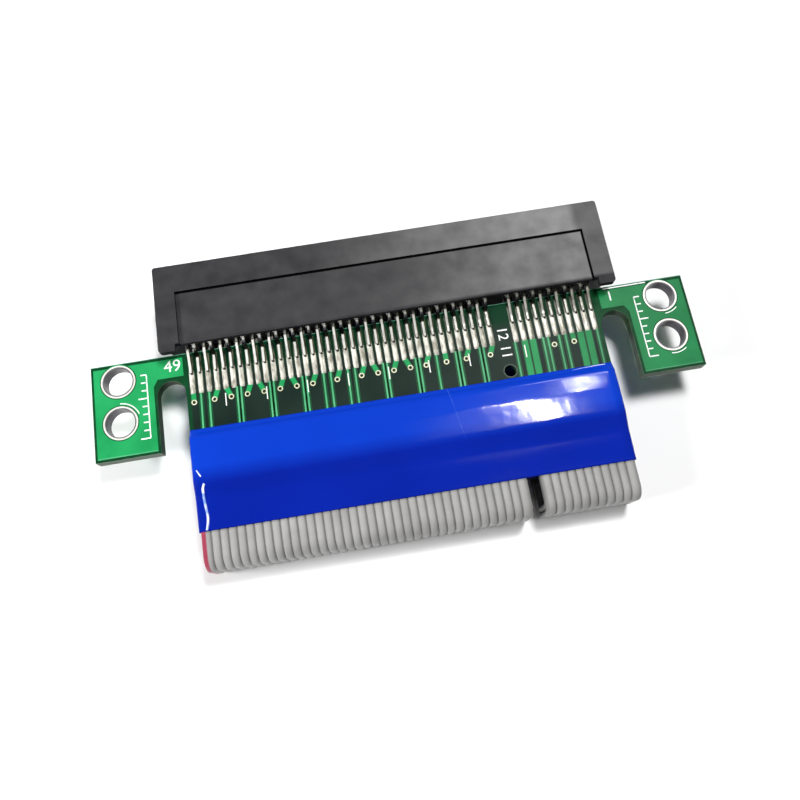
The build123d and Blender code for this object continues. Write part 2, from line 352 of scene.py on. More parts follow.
def ear_copper(shape, side):
    """Ground area of one ear, with openings round its two holes."""
    ring_low, ring_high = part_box("plated_hole_right_far")
    opening_radius = (ring_high.x - ring_low.x) / 2 + RING_COPPER_GAP
    outline = ear_outline(NOTCH_INNER_X + BARE_NECK[side])
    edges = ring_of_edges(shape, [(side * x, y) for x, y in outline])
    for hole in ("plated_hole_right_far", "plated_hole_right_near"):
        x, y = middle_of(hole)
        edges += ring_of_edges(shape, arc(side * x, y, opening_radius, 0, 360, OPENING_STEPS)[:-1])
    filled = bmesh.ops.triangle_fill(shape, use_beauty=True, use_dissolve=False, edges=edges)
    return only(filled, bmesh.types.BMFace)


def strip_between(shape, start, end, width, height):
    """Straight flat strip between two (x, y) points."""
    along = Vector((end[0] - start[0], end[1] - start[1], 0))
    turn = Matrix.Rotation(math.atan2(along.y, along.x), 4, "Z")
    middle = Vector(((start[0] + end[0]) / 2, (start[1] + end[1]) / 2, height / 2))
    size = Matrix.Diagonal((along.length, width, height, 1))
    bmesh.ops.create_cube(shape, size=1, matrix=Matrix.Translation(middle) @ turn @ size)


def via_places():
    """(mark, stub's top, via's middle) of each via on the board."""
    shifts = {"o": 0.0, "/": -VIA_SHIFT, "\\": VIA_SHIFT, ".": VIA_SHIFT}
    for x, marks in ROUTING:
        for mark in marks:
            if mark in shifts:
                top = (x + shifts[mark] * STUB_TOP_SHARE, TRACE_START_Y)
                yield mark, top, (x + shifts[mark], VIA_Y)


def trace_below(shape, x, width, height):
    """Copper or mask that runs from a pad to under the tape, drifting a little to the left."""
    strip_between(shape, (x, TRACE_START_Y), (x - TRACE_DRIFT, TRACE_END_Y), width, height)


def narrow_traces(shape, width, height):
    """The signal traces, or the mask that pools along them."""
    for x, marks in ROUTING:
        if marks[0] in TRACE_SHIFTS:
            trace_below(shape, x + TRACE_SHIFTS[marks[0]], width, height)


def stubs_and_bands(shape, spread, height):
    """The wide copper below the pads, or the mask that pools along it."""
    for x, marks in ROUTING:
        if marks == "w":
            trace_below(shape, x, PAD_WIDTH + spread, height)
    for mark, top, middle in via_places():
        if mark != ".":
            strip_between(shape, top, middle, STUB_WIDTH + spread, height)


def face_out(shape):
    """Turns every face outwards."""
    bmesh.ops.recalc_face_normals(shape, faces=shape.faces)


def on_side(shape, side, height=FACE):
    """Moves what was made on Z = 0 to a height above (1) or below (-1) the board's middle plane."""
    if side < 0:
        bmesh.ops.transform(shape, matrix=Matrix.Diagonal((1, 1, -1, 1)), verts=shape.verts)
    bmesh.ops.translate(shape, verts=shape.verts, vec=(0, 0, board_middle_z + side * height))
    face_out(shape)


def mask_finish(name, dark, light, shade_at_right=1.0):
    """Solder mask, a little uneven, with painted shade that darkens it towards the right by the factor
    given.
    """
    finish, place = new_finish(name, 0.42, specular=0.3)
    cloud = grain(place, 260.0, 4.0)
    left = two_tone(cloud, dark, light)
    right = two_tone(cloud, [c * shade_at_right for c in dark], [c * shade_at_right for c in light])
    right_shade = between(split_axes(place)["X"], *RIGHT_SHADE_SPAN)
    feed("Base Color", blend(right_shade, left, right))
    bumps(place, 1500.0, 0.008 * MM)
    return finish


# The copper and thin mask get painted shade towards the right ear.
pooled_mask = mask_finish("pooled_mask", (0.004, 0.045, 0.016), (0.008, 0.075, 0.026))
masked_copper = mask_finish("masked_copper", (0.010, 0.24, 0.070), (0.018, 0.32, 0.098), 0.62)
thin_mask = mask_finish("thin_mask", (0.05, 0.31, 0.13), (0.10, 0.42, 0.20), 0.7)
for side, face_name in BOTH_FACES:
    pools = bmesh.new()
    narrow_traces(pools, TRACE_WIDTH + 2 * MASK_POOL_SPREAD, MASK_POOL_HEIGHT)
    stubs_and_bands(pools, MASK_POOL_SPREAD, MASK_POOL_HEIGHT)
    on_side(pools, side)
    new_piece(f"mask_pools_{face_name}", pools, pooled_mask, "solder_mask")
    copper = bmesh.new()
    for end in (-1, 1):
        raise_sheet(copper, ear_copper(copper, end), COPPER_HEIGHT)
    stubs_and_bands(copper, 0, COPPER_HEIGHT)
    on_side(copper, side)
    new_piece(f"board_copper_{face_name}", copper, masked_copper, "solder_mask")
    lines = bmesh.new()
    narrow_traces(lines, TRACE_WIDTH, COPPER_HEIGHT)
    for end in (-1, 1):
        near_edge = [(end * x, y + THIN_MASK_BACK) for x, y in ear_outline(0)[2:4]]
        strip_between(lines, *near_edge, THIN_MASK_WIDTH, THIN_MASK_HEIGHT)
    on_side(lines, side)
    new_piece(f"thin_mask_lines_{face_name}", lines, thin_mask, "solder_mask")


# Vias: plated holes through the board that join the ground stubs of both faces. Their rings are free
# of mask, so the solder on them shows, and a near-black ring filling each is the painted shade of its bore.

VIA_RADIUS = 0.34 * MM
VIA_HOLE_RADIUS = 0.2 * MM
VIA_RING_HEIGHT = 1.8 * COPPER_HEIGHT
VIA_BORE_HEIGHT = 1.2 * COPPER_HEIGHT
VIA_BORE_OPENING = 0.02 * MM
VIA_SEGMENTS = 20
VIA_BORE_SEGMENTS = 12


def flat_ring(shape, x, y, outer_radius, inner_radius, height, segments):
    """Low ring standing on Z = 0."""
    made = bmesh.ops.create_circle(shape, cap_ends=True, radius=outer_radius, segments=segments)
    face = made["verts"][0].link_faces[0]
    bmesh.ops.inset_region(shape, faces=[face], thickness=outer_radius - inner_radius, use_boundary=True)
    bmesh.ops.delete(shape, geom=[face], context="FACES_ONLY")
    ring_faces = faces_of(made["verts"])
    corners = {v for f in ring_faces for v in f.verts}
    bmesh.ops.translate(shape, verts=list(corners), vec=(x, y, 0))
    raise_sheet(shape, ring_faces, height)


def clouded_finish(name, roughness, scale, dark, light, low=0.3, high=0.7, metallic=0.0, bump=None):
    """A finish that drifts between two colours, with bumps where their scale and height are given."""
    finish, place = new_finish(name, roughness, metallic)
    feed("Base Color", two_tone(grain(place, scale), dark, light, low, high))
    if bump:
        bumps(place, *bump)
    return finish


via_metal = clouded_finish(
    "via_metal", 0.45, 1800.0, (0.48, 0.49, 0.30), (0.80, 0.80, 0.60),
    metallic=0.1, bump=(3060.0, 0.02 * MM))
# Painted shade: a near-black ring inside each via ring stands for the dark of its bore.
bore_shade = mask_finish("bore_shade", (0.002, 0.003, 0.002), (0.004, 0.006, 0.004))
for side, face_name in BOTH_FACES:
    rings = bmesh.new()
    bores = bmesh.new()
    for mark, top, middle in via_places():
        flat_ring(rings, *middle, VIA_RADIUS, VIA_HOLE_RADIUS, VIA_RING_HEIGHT, VIA_SEGMENTS)
        flat_ring(bores, *middle, VIA_HOLE_RADIUS, VIA_BORE_OPENING, VIA_BORE_HEIGHT, VIA_BORE_SEGMENTS)
    on_side(rings, side)
    on_side(bores, side)
    new_piece(f"vias_{face_name}", rings, via_metal, "solder")
    new_piece(f"via_bore_shades_{face_name}", bores, bore_shade, "solder_mask")


# Print: white ink, screened on the mask. Plain numbers at the first and last contacts and at the key
# gap, a dash at every fifth contact from 10 to 45, a line at the socket's end, a scale in millimetres
# along each ear and arcs beside three of the holes.

INK_HEIGHT = 0.012 * MM
INK_Z = board_high.z + COPPER_HEIGHT
DASHED_CONTACTS = range(10, 46, 5)
DASH_TOP_Y = EDGE_Y - 5.9 * MM
DASH_END_Y = EDGE_Y - 7.5 * MM
DASH_SHIFT = 0.15 * MM
DASH_LEAN = 0.03 * MM
DASH_WIDTH = 0.13 * MM
HOLE_X, HOLE_NEAR_Y = middle_of("plated_hole_right_near")
HOLE_FAR_Y = middle_of("plated_hole_right_far")[1]
LEFT_SCALE_X = 3.45 * MM - HOLE_X
RIGHT_SCALE_X = HOLE_X - 3.3 * MM
SCALE_STEP = 1.0 * MM
SCALE_STEPS = 8
SCALE_START_Y = HOLE_NEAR_Y - 2.4 * MM
SCALE_LINE_WIDTH = 0.14 * MM
TICK_WIDTH = 0.16 * MM
SHORT_TICK = 0.7 * MM
LONG_TICK = 1.15 * MM
ARC_RADIUS = 2.42 * MM
ARC_WIDTH = 0.12 * MM
ARC_STEPS = 14
END_LINE = ((27.1 * MM, EDGE_Y - 0.27 * MM), (32.6 * MM, EDGE_Y - 0.24 * MM))
END_LINE_WIDTH = 0.15 * MM
DIGIT_HEIGHT = 1.5 * MM
SMALL_DIGIT_HEIGHT = 0.85 * DIGIT_HEIGHT
TYPE_SIZE_PER_DIGIT = 1.42

# X and Y of the hole beside each arc, and the arc's start and end in degrees.
ARCS = ((-HOLE_X, HOLE_NEAR_Y, 20, 88), (HOLE_X, HOLE_NEAR_Y, 258, 306), (HOLE_X, HOLE_FAR_Y, 272, 312))

# Digits, their height, the turn in degrees and the place of each number.
NUMBERS = (
    ("49", DIGIT_HEIGHT, 0, (-27.25 * MM, EDGE_Y - 1.45 * MM, INK_Z)),
    ("1", SMALL_DIGIT_HEIGHT, 0, (27.75 * MM, EDGE_Y - 1.4 * MM, INK_Z)),
    ("12", SMALL_DIGIT_HEIGHT, -90, (13.45 * MM, EDGE_Y - 4.0 * MM, board_high.z)),
    ("11", SMALL_DIGIT_HEIGHT, -90, (13.45 * MM, EDGE_Y - 6.4 * MM, board_high.z)),
)


def add_curve(shape, curve, place=Matrix()):
    """Adds the mesh of a text or a curve to a shape, in its place."""
    holder = bpy.data.objects.new(curve.name, curve)
    bpy.context.scene.collection.objects.link(holder)
    bpy.context.view_layer.update()
    mesh = bpy.data.meshes.new_from_object(holder)
    mesh.transform(place)
    shape.from_mesh(mesh)
    bpy.data.meshes.remove(mesh)
    bpy.data.objects.remove(holder)


def merge_doubles(shape, distance=0.002 * MM):
    """Joins vertices in the same place, then turns every face outwards."""
    bmesh.ops.remove_doubles(shape, verts=shape.verts, dist=distance)
    face_out(shape)


def add_number(shape, digits, height, turn_degrees, place):
    """A plain number in ink, centred on its place."""
    letters = bpy.data.curves.new("ink_number", "FONT")
    letters.body = digits
    letters.size = height * TYPE_SIZE_PER_DIGIT
    letters.align_x = "CENTER"
    letters.align_y = "CENTER"
    letters.extrude = INK_HEIGHT / 2
    letters.resolution_u = 4
    middle = Vector(place) + Vector((0, 0, INK_HEIGHT / 2))
    turn = Matrix.Rotation(math.radians(turn_degrees), 4, "Z")
    add_curve(shape, letters, Matrix.Translation(middle) @ turn)


def ear_scale(shape, x, side):
    """Ticks a millimetre apart, each fifth one longer, beside a thin line."""
    end_y = SCALE_START_Y + SCALE_STEPS * SCALE_STEP
    strip_between(shape, (x, SCALE_START_Y), (x, end_y), SCALE_LINE_WIDTH, INK_HEIGHT)
    for step in range(SCALE_STEPS + 1):
        reach = LONG_TICK if step % 5 == 0 else SHORT_TICK
        y = SCALE_START_Y + step * SCALE_STEP
        strip_between(shape, (x, y), (x + side * reach, y), TICK_WIDTH, INK_HEIGHT)


def ring_arc(shape, x, y, start, end):
    """Thin curved line beside a hole, as short strips."""
    points = arc(x, y, ARC_RADIUS, start, end, ARC_STEPS)
    for a, b in zip(points, points[1:]):
        strip_between(shape, a, b, ARC_WIDTH, INK_HEIGHT)


ink = bmesh.new()
for number in DASHED_CONTACTS:
    dash_x = contact_x(number) - DASH_SHIFT
    strip_between(ink, (dash_x, DASH_TOP_Y), (dash_x - DASH_LEAN, DASH_END_Y), DASH_WIDTH, INK_HEIGHT)
ear_scale(ink, LEFT_SCALE_X, -1)
ear_scale(ink, RIGHT_SCALE_X, 1)
for arc_form in ARCS:
    ring_arc(ink, *arc_form)
strip_between(ink, *END_LINE, END_LINE_WIDTH, INK_HEIGHT)
bmesh.ops.translate(ink, verts=ink.verts, vec=(0, 0, INK_Z))
for number_form in NUMBERS:
    add_number(ink, *number_form)
merge_doubles(ink)
white_ink = clouded_finish("white_ink", 0.55, 2200.0, (0.55, 0.60, 0.56), (0.86, 0.88, 0.86), 0.25, 0.5)
new_piece("print_a", ink, white_ink, "solder_mask")


# Plated holes of the ears: a copper lining with a ring on each face, dipped in solder. The solder draws
# up bright along the ring's outside, and inside it the ring and bore are painted grey as shade.

BORE_TO_RIM = (1.84 * MM, 1.94 * MM)


def stretched(place, *scale):
    """Coordinates scaled along X, Y and Z."""
    node = node_after(place, "ShaderNodeMapping", "Vector")
    node.inputs["Scale"].default_value = scale
    return node.outputs[0]


def hole_finish(name):
    """Solder of one hole: painted grey as shade in the bore and towards it, bright at the ring's rim."""
    finish, place = new_finish(f"tinned_{name}", 0.38, 0.3)
    from_axis = distance_from(stretched(place, 1.0, 1.0, 0.0), (*middle_of(name), 0))
    cloud = grain(place, 700.0)
    # Painted shade: grey in the bore and on the ring inside its rim.
    bore = two_tone(cloud, (0.075, 0.068, 0.080), (0.17, 0.16, 0.175))
    rim = two_tone(cloud, (0.78, 0.77, 0.70), (0.97, 0.96, 0.90))
    feed("Base Color", blend(between(from_axis, *BORE_TO_RIM), bore, rim))
    bumps(place, 1200.0, 0.03 * MM)
    return finish


for place_name in ("left_far", "left_near", "right_far", "right_near"):
    paint_node(f"plated_hole_{place_name}", hole_finish(f"plated_hole_{place_name}"))


# Solder on the pads: each pad is a low mound of solder, rounded at its near end, that thickens
# against the contact's tail. It is reflowed tin, bright and lumpy.

PAD_FAR_Y = EDGE_Y - 0.45 * MM
PAD_NEAR_Y = EDGE_Y - 5.4 * MM
TAIL_END_Y = EDGE_Y - 2.8 * MM
SOLDER_HEIGHT = 0.13 * MM
SOLDER_WIDTH = 0.66 * MM
MOUND_COLUMNS = 6
MOUND_ROWS = 12
NEAR_RISE = 0.5 * MM
NEAR_ROUNDING = 0.3 * MM
NEAR_WIDTH_SHARE = 0.84
RIM_SHARE = 0.12
CROWN_SHARE = 0.8
LUMP_SHARE = 0.35
LUMPS_PER_METRE = 900
LUMPS_APART = 3.7
STREAKED = (1.0, 0.3, 1.0)

# Where one shade of solder turns into the next, across a contact from its middle or along it. Painted
# shade darkens each pad's right and the solder by its tail, and a painted shadow lies at the tail's end.
LIT_TO_SHADED_SIDE = (-0.12 * MM, 0.12 * MM)
BESIDE_TO_TAIL_SHADE = (-0.16 * MM, -0.06 * MM)
PALE_TO_TAIL = (TAIL_END_Y + 0.05 * MM, TAIL_END_Y + 0.3 * MM)
# Painted shadow at each tail's end: its middle, its size and where the solder turns into it.
TAIL_SHADOW_X = 0.06 * MM
TAIL_SHADOW_Y = TAIL_END_Y - 0.05 * MM
TAIL_SHADOW_WIDTH = 0.2 * MM
TAIL_SHADOW_LENGTH = 0.13 * MM
SOLDER_TO_TAIL_SHADOW = (1.6, 1.1)


def solder_mound(shape, x, seed):
    """Mound of solder on one pad, standing on Z = 0."""
    middle = Matrix.Translation((x, (PAD_FAR_Y + PAD_NEAR_Y) / 2, 0))
    size = Matrix.Diagonal((SOLDER_WIDTH, PAD_FAR_Y - PAD_NEAR_Y, 1, 1))
    made = bmesh.ops.create_grid(
        shape, x_segments=MOUND_COLUMNS, y_segments=MOUND_ROWS, size=0.5, matrix=middle @ size)
    foot = made["verts"]
    grown = bmesh.ops.extrude_face_region(shape, geom=faces_of(foot), use_keep_orig=True)
    top = only(grown, bmesh.types.BMVert)
    for vert in top:
        across = abs(vert.co.x - x) / (SOLDER_WIDTH / 2)
        crown = math.sqrt(1 - across ** 3) if across < 0.999 else 0.0
        rise = math.sqrt(min(1.0, max(0.0, (vert.co.y - PAD_NEAR_Y) / NEAR_RISE)))
        lump = noise.noise(Vector((vert.co.x * LUMPS_PER_METRE, vert.co.y * LUMPS_PER_METRE, seed)))
        vert.co.z = SOLDER_HEIGHT * (RIM_SHARE + crown * rise * (CROWN_SHARE + LUMP_SHARE * lump))
    for vert in top + foot:
        rounding = (vert.co.y - PAD_NEAR_Y) / NEAR_ROUNDING
        if rounding < 1:
            share = NEAR_WIDTH_SHARE + (1 - NEAR_WIDTH_SHARE) * math.sqrt(max(rounding, 0.0))
            vert.co.x = x + (vert.co.x - x) * share


def plus(first, second):
    """First and second together."""
    return maths("ADD", first, second)


def times(first, second):
    """First multiplied by second."""
    return maths("MULTIPLY", first, second)


def share_of(value, middle, size):
    """Distance from a middle, counted in sizes."""
    return maths("DIVIDE", minus(value, middle), size)


def from_contact(x):
    """Distance from the nearest contact's middle, positive to its right."""
    within = maths("FRACT", share_of(x, FIRST_X - PITCH / 2, PITCH))
    return times(minus(within, 0.5), PITCH)


def solder_finish():
    """Pale streaky solder with painted shade at each contact's right, dark olive painted shade and
    reflection by its tail, and a painted shadow at the tail's end.
    """
    finish, place = new_finish("solder_metal", 0.38, 0.25)
    x, y = split_axes(place)[:2]
    lumps = grain(stretched(place, *STREAKED), 2200.0)
    across = from_contact(x)
    bright = two_tone(lumps, (0.40, 0.38, 0.31), (0.90, 0.88, 0.80), 0.34, 0.55)
    # Painted shade: each pad is lighter at its left and darker at its right.
    shaded_side = two_tone(lumps, (0.20, 0.20, 0.15), (0.72, 0.70, 0.60), 0.36, 0.66)
    pale = blend(between(across, *LIT_TO_SHADED_SIDE), bright, shaded_side)
    # Painted shade and reflection by each tail: dark olive under and right of it, grey at its left.
    tail_shade = two_tone(lumps, (0.012, 0.014, 0.008), (0.17, 0.18, 0.10), 0.35, 0.7)
    beside = two_tone(lumps, (0.08, 0.08, 0.055), (0.42, 0.42, 0.34), 0.35, 0.65)
    by_tail = blend(between(across, *BESIDE_TO_TAIL_SHADE), beside, tail_shade)
    colour = blend(between(y, *PALE_TO_TAIL), pale, by_tail)
    aside = share_of(across, TAIL_SHADOW_X, TAIL_SHADOW_WIDTH)
    along = share_of(y, TAIL_SHADOW_Y, TAIL_SHADOW_LENGTH)
    reach = plus(times(aside, aside), times(along, along))
    ragged = plus(reach, grain(place, 1700.0, 1.0))
    # Painted shadow: near-black just past each tail's end.
    tail_shadow = between(ragged, *SOLDER_TO_TAIL_SHADOW)
    feed("Base Color", blend(tail_shadow, colour, (0.006, 0.006, 0.005)))
    bumps(place, 2400.0, 0.03 * MM)
    return finish


solder_metal = solder_finish()
for side, face_name in BOTH_FACES:
    mounds = bmesh.new()
    for number in range(1, CONTACT_COUNT + 1):
        solder_mound(mounds, contact_x(number), number * LUMPS_APART)
    on_side(mounds, side)
    for face in mounds.faces:
        face.smooth = True
    new_piece(f"solder_{face_name}", mounds, solder_metal, "solder", f"solder_pads_{face_name}")


# Contacts: strips stamped from copper alloy, tinned and bent. In each pair the odd one leaves the
# housing low and slopes gently to its pad, and the even one leaves it high and drops steeply.

STRIP = 0.2 * MM
STRIP_WIDTH = 0.44 * MM
MOUTH_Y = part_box("slot_housing")[1].y
TIP_Y = MOUTH_Y - 1.35 * MM
CREST_Y = MOUTH_Y - 2.85 * MM
TIP_HEIGHT = 1.5 * MM
CREST_HEIGHT = 0.75 * MM
SPRING_RUN = 2.0
UPPER_SHANK = 2.2 * MM
LOWER_SHANK = 1.5 * MM
TAIL_SEAT = FACE + 0.05 * MM + STRIP / 2
SHOULDER_WIDTH = 0.86 * MM
SHOULDER_LENGTH = 0.34 * MM
SHOULDER_THICKNESS = 0.96 * STRIP
SHOULDER_GAP = 0.05 * MM
UPPER_BEND_Y = EDGE_Y + 0.15 * MM
LOWER_BEND_Y = EDGE_Y + 0.3 * MM
UPPER_FOOT_Y = EDGE_Y - 0.75 * MM
LOWER_FOOT_Y = EDGE_Y - 2.0 * MM
BEND_ROUNDING = 0.28 * MM
BEND_SEGMENTS = 4
EDGE_ROUNDING = 0.07 * MM
EDGE_SEGMENTS = 3
SHARP_ANGLE = 1.2

# Where the tin greys, and where painted shade darkens it: between two Y values and along each strip's right
# side.
BRIGHT_TO_GREYED = (-20 * MM, 22 * MM)
TIN_TO_SHADED_SIDE = (0.06 * MM, 0.13 * MM)
HIGH_SHADE_BAND = (UPPER_FOOT_Y - 0.2 * MM, EDGE_Y - 0.2 * MM)
LOW_SHADE_BAND = (EDGE_Y + 0.06 * MM, EDGE_Y + 0.3 * MM)
SHADE_BAND_FADE = 0.1 * MM


def round_edges(shape, edges, offset, segments):
    """Rounds edges by this offset."""
    bmesh.ops.bevel(
        shape, geom=edges, offset=offset, offset_type="OFFSET", affect="EDGES", segments=segments,
        profile=0.5, material=-1, clamp_overlap=True)


def contact_strip(shape, x, shank, bend_y, foot_y):
    """One bent strip on the board's upper side, measured from the board's middle plane."""
    knee_y = CREST_Y - (shank - CREST_HEIGHT) * SPRING_RUN
    route = [
        (TIP_Y, TIP_HEIGHT), (CREST_Y, CREST_HEIGHT), (knee_y, shank), (bend_y, shank),
        (foot_y, TAIL_SEAT), (TAIL_END_Y, TAIL_SEAT)]
    chain = [shape.verts.new((x - STRIP_WIDTH / 2, y, z)) for y, z in route]
    line = [shape.edges.new(pair) for pair in zip(chain, chain[1:])]
    grown = bmesh.ops.extrude_edge_only(shape, edges=line)
    bmesh.ops.translate(shape, verts=only(grown, bmesh.types.BMVert), vec=(STRIP_WIDTH, 0, 0))
    faces = only(grown, bmesh.types.BMFace)
    bends = list({e for f in faces for e in f.edges if len(e.link_faces) == 2})
    round_edges(shape, bends, BEND_ROUNDING, BEND_SEGMENTS)


def shoulder(shape, x, shank, bend_y):
    """Wedge-shaped shoulder of a strip, just inside the housing, that stops it at its seat."""
    middle_y = bend_y + SHOULDER_GAP + SHOULDER_LENGTH / 2
    size = Matrix.Diagonal((SHOULDER_WIDTH, SHOULDER_LENGTH, SHOULDER_THICKNESS, 1))
    made = bmesh.ops.create_cube(shape, size=1, matrix=Matrix.Translation((x, middle_y, shank)) @ size)
    for vert in made["verts"]:
        if vert.co.y < middle_y:
            vert.co.x = x + (vert.co.x - x) * STRIP_WIDTH / SHOULDER_WIDTH


def contact_row(side, shank, bend_y, foot_y, first_number):
    """Every second strip from the first, thickened about its middle surface."""
    row = bmesh.new()
    numbers = range(first_number, CONTACT_COUNT + 1, 2)
    for number in numbers:
        contact_strip(row, contact_x(number), shank, bend_y, foot_y)
    face_out(row)
    bmesh.ops.solidify(row, geom=row.faces, thickness=STRIP)
    face_out(row)
    sharp = [e for e in row.edges if len(e.link_faces) == 2 and e.calc_face_angle() > SHARP_ANGLE]
    round_edges(row, sharp, EDGE_ROUNDING, EDGE_SEGMENTS)
    for number in numbers:
        shoulder(row, contact_x(number), shank, bend_y)
    on_side(row, side, 0)
    return row


def contact_finish(name, shade_start, shade_end):
    """Tin, greyer towards the right, with painted shade between two Y values and along each strip's right
    side.
    """
    finish, place = new_finish(name, 0.25)
    x, y = split_axes(place)[:2]
    cloud = grain(place, 1200.0)
    bright = two_tone(cloud, (0.78, 0.77, 0.70), (0.97, 0.96, 0.92), 0.3, 0.6)
    greyed = two_tone(cloud, (0.20, 0.20, 0.17), (0.36, 0.36, 0.32), 0.3, 0.6)
    tin = blend(between(x, *BRIGHT_TO_GREYED), bright, greyed)
    shaded_tin = two_tone(cloud, (0.012, 0.014, 0.009), (0.15, 0.16, 0.08), 0.3, 0.75)
    # Painted shade along each strip's right side.
    shade_at_right = between(from_contact(x), *TIN_TO_SHADED_SIDE)
    past_start = between(y, shade_start, shade_start + SHADE_BAND_FADE)
    before_end = between(y, shade_end, shade_end - SHADE_BAND_FADE)
    # Painted shade: on each strip's right side and in the shaded band along it.
    dull = maths("MAXIMUM", shade_at_right, times(past_start, before_end))
    feed("Base Color", blend(dull, tin, shaded_tin))
    feed("Metallic", between(facing_up(place, 0.75, 0.97), 0.0, 1.0, 1.0, 0.3))
    bumps(place, 2000.0, 0.012 * MM)
    return finish


high_metal = contact_finish("high_contact_metal", *HIGH_SHADE_BAND)
low_metal = contact_finish("low_contact_metal", *LOW_SHADE_BAND)
for side, face_name in BOTH_FACES:
    high_row = contact_row(side, UPPER_SHANK, UPPER_BEND_Y, UPPER_FOOT_Y, 2)
    low_row = contact_row(side, LOWER_SHANK, LOWER_BEND_Y, LOWER_FOOT_Y, 1)
    for row_name, row, metal, node_end in (
        ("high", high_row, high_metal, "upper"), ("low", low_row, low_metal, "lower")
    ):
        node_name = f"contacts_{face_name}_{node_end}"
        new_piece(f"contacts_{row_name}_{face_name}", row, metal, "tinned_contact", node_name)


# Socket housing: one moulding of black glass-filled plastic, faintly mottled, with a sheen on its
# broad faces and a sunk panel in each of them. The sheen is painted grey towards the right end, and
# shade is painted black round each panel. Its shape is the CAD node's.

PANEL_HALF_LENGTH = 25.5 * MM
PANEL_FRONT = EDGE_Y + 7.05 * MM
EDGE_SHADE_WIDTH = 0.2 * MM
LEFT_EDGE_SHADE_WIDTH = 0.04 * MM
EDGE_SHADE_REACH = 0.05 * MM
EDGE_SHADE_FADE = 0.06 * MM

# Where one shade of plastic turns into the next: heights from the board's middle plane, X and Y.
TOP_TO_EDGE_SHADE = (3.62 * MM, 3.56 * MM)
TOP_TO_PANEL = (3.55 * MM, 3.35 * MM)
EDGE_TO_FACE = (EDGE_Y + 0.4 * MM, EDGE_Y + 0.75 * MM)
PANEL_TO_SHEEN = (0.0, 25 * MM)
FRAME_TO_SHEEN = (-8 * MM, 20 * MM)
FRAME_TO_CORNER = (24.2 * MM, 25.2 * MM)


def inside_panel(x, y, left_margin, margin):
    """1 inside the panel's outline drawn in by the margins, 0 outside it."""
    left_x = -PANEL_HALF_LENGTH + left_margin
    right_x = PANEL_HALF_LENGTH - margin
    front_y = PANEL_FRONT - margin
    left = between(x, left_x - EDGE_SHADE_FADE, left_x)
    right = between(x, right_x + EDGE_SHADE_FADE, right_x)
    front = between(y, front_y + EDGE_SHADE_FADE, front_y)
    return times(times(left, right), front)


def housing_finish():
    """Black plastic, with a painted sheen that greys it towards the socket's right end and painted shade
    black round the panel.
    """
    finish, place = new_finish("housing_plastic", 0.42)
    x, y, z = split_axes(place)
    mottle = grain(place, 420.0, 5.0)
    height = size_of(minus(z, board_middle_z))
    off_edge = between(y, *EDGE_TO_FACE)
    on_panel = times(off_edge, between(height, *TOP_TO_PANEL))
    on_frame = minus(off_edge, on_panel)

    # Painted sheen: the panel and the frame are greyer towards the right end, and the frame's sheen stops
    # short of the corner.
    black = two_tone(mottle, (0.026, 0.026, 0.028), (0.044, 0.044, 0.046))
    panel_sheen = two_tone(mottle, (0.075, 0.075, 0.077), (0.15, 0.15, 0.15))
    frame_sheen = two_tone(mottle, (0.13, 0.13, 0.13), (0.20, 0.20, 0.20))
    panel_sheen_share = times(between(x, *PANEL_TO_SHEEN), on_panel)
    frame_sheen_share = times(between(x, *FRAME_TO_SHEEN), between(x, *FRAME_TO_CORNER, 1.0, 0.3))
    colour = blend(panel_sheen_share, black, panel_sheen)
    colour = blend(times(frame_sheen_share, on_frame), colour, frame_sheen)

    # Painted shade: near-black along the panel's sunk edge.
    outline = inside_panel(x, y, -EDGE_SHADE_REACH, -EDGE_SHADE_REACH)
    within = inside_panel(x, y, LEFT_EDGE_SHADE_WIDTH, EDGE_SHADE_WIDTH)
    edge_shade = times(minus(outline, within), between(height, *TOP_TO_EDGE_SHADE))
    feed("Base Color", blend(edge_shade, colour, (0.003, 0.003, 0.003)))
    gloss = plus(times(on_panel, 0.2), times(off_edge, 0.32))
    feed("Specular IOR Level", times(gloss, between(edge_shade, 0.0, 1.0, 1.0, 0.0)))
    feed("Roughness", between(grain(place, 90.0, 2.0), 0.3, 0.7, 0.36, 0.5))
    bumps(place, 1600.0, 0.012 * MM, 4.0)
    return finish


paint_node("slot_housing", housing_finish())


# Plug board: the lower board, of the same laminate, with the bevelled edge that pushes into a host's
# slot. The fingers on both of its faces are copper, plated with hard gold.

plug_low, plug_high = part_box("plug_board")
plug_middle_z = (plug_low.z + plug_high.z) / 2


def plug_mask_finish():
    """Solder mask over the plug board, with sawn edges."""
    finish, place = new_finish("plug_mask", 0.3)
    cloud = grain(place, 500.0)
    faces = two_tone(cloud, (0.004, 0.13, 0.045), (0.008, 0.19, 0.068))
    edges = sawn_edges(cloud, split_axes(place)["Z"], plug_middle_z)
    feed("Base Color", blend(facing_up(place, 0.98, 0.995), edges, faces))
    bumps(place, 2500.0, 0.008 * MM)
    return finish


paint_node("plug_board", plug_mask_finish())
gold = clouded_finish(
    "gold_fingers", 0.2, 800.0, (0.75, 0.50, 0.16), (0.9, 0.66, 0.28),
    metallic=1.0, bump=(2600.0, 0.004 * MM))
for side, face_name in BOTH_FACES:
    paint_node(f"gold_fingers_{face_name}", gold)


# Wire ends: the ribbons' copper conductors, tinned and stripped of their vinyl. They are laid on the
# boards' faces and soldered there, under the tape.

wire_metal = clouded_finish(
    "wire_metal", 0.28, 1800.0, (0.62, 0.60, 0.54), (0.86, 0.84, 0.78),
    metallic=1.0, bump=(3060.0, 0.02 * MM))
for board_name in ("slot", "plug"):
    for side, face_name in BOTH_FACES:
        paint_node(f"{board_name}_wire_ends_{face_name}", wire_metal)


# Ribbon cables: grey vinyl ribbed over each conductor, in a wide and a narrow part on each face. They
# are folded back under the socket, where the lower run lies on the floor and climbs to the plug board.

